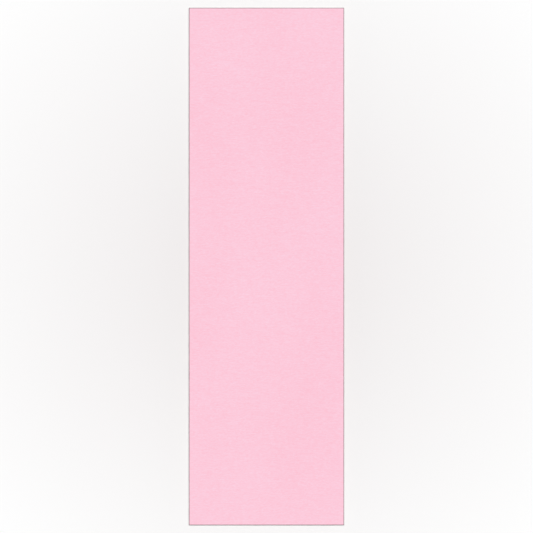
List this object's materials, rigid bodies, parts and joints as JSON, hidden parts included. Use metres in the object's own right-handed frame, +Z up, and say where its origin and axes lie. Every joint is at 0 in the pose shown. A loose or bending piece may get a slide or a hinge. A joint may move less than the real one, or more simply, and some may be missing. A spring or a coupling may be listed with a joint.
{
  "type": "scoring board",
  "caption": "Flat oblong craft board: a pasted greyboard core with plain pink card mounted on both sides, on which paper is laid to be scored.",
  "frame": {"origin": "centre of the underside, on the surface that the board lies on", "axes": "+X across the board, +Y along its length, +Z up out of the face sheet"},
  "size_m": [0.09, 0.3, 0.0038],
  "materials": {
    "pink_card": "matte",
    "greyboard": "matte",
    "paste": "matte",
    "adhesive_film": "satin"
  },
  "bodies": {
    "root": {"face_sheet": "pink_card", "face_adhesive": "adhesive_film", "core_ply_top": "greyboard", "core_paste_upper": "paste", "core_ply_middle": "greyboard", "core_paste_lower": "paste", "core_ply_bottom": "greyboard", "back_adhesive": "adhesive_film", "back_sheet": "pink_card"}
  },
  "joints": []
}
